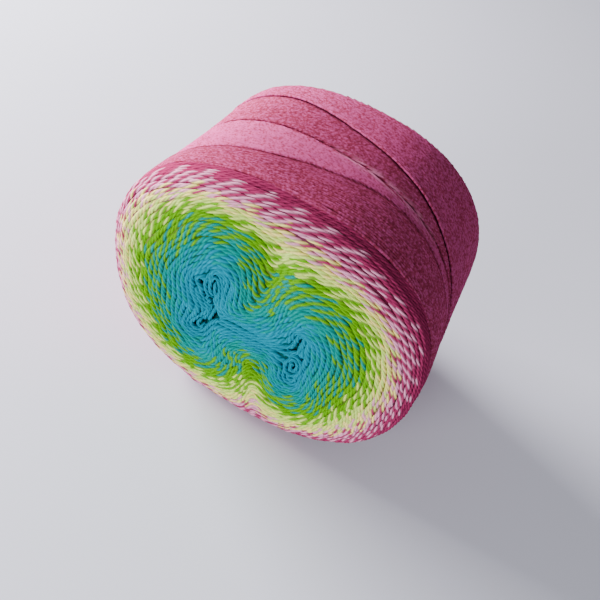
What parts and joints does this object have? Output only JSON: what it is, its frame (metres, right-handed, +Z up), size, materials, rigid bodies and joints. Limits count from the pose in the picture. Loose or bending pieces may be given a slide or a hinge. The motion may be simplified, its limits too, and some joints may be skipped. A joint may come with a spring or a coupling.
{
  "type": "gradient cotton yarn cake",
  "caption": "Machine-wound cake of gradient cotton yarn lying on its side, magenta outside and shading through cream, lime and teal to blue at its closed core.",
  "frame": {"origin": "middle of the underside, on the surface that the winding rests on", "axes": "+Y along the winding axis from the front end to the rear end, +Z up, +X to the right seen from the front end"},
  "size_m": [0.1334, 0.1022, 0.1302],
  "materials": {
    "yarn": "matte loosely twisted cotton threads, changing colour from the core to the outside"
  },
  "bodies": {
    "root": {"wound_yarn": "yarn"}
  },
  "joints": []
}
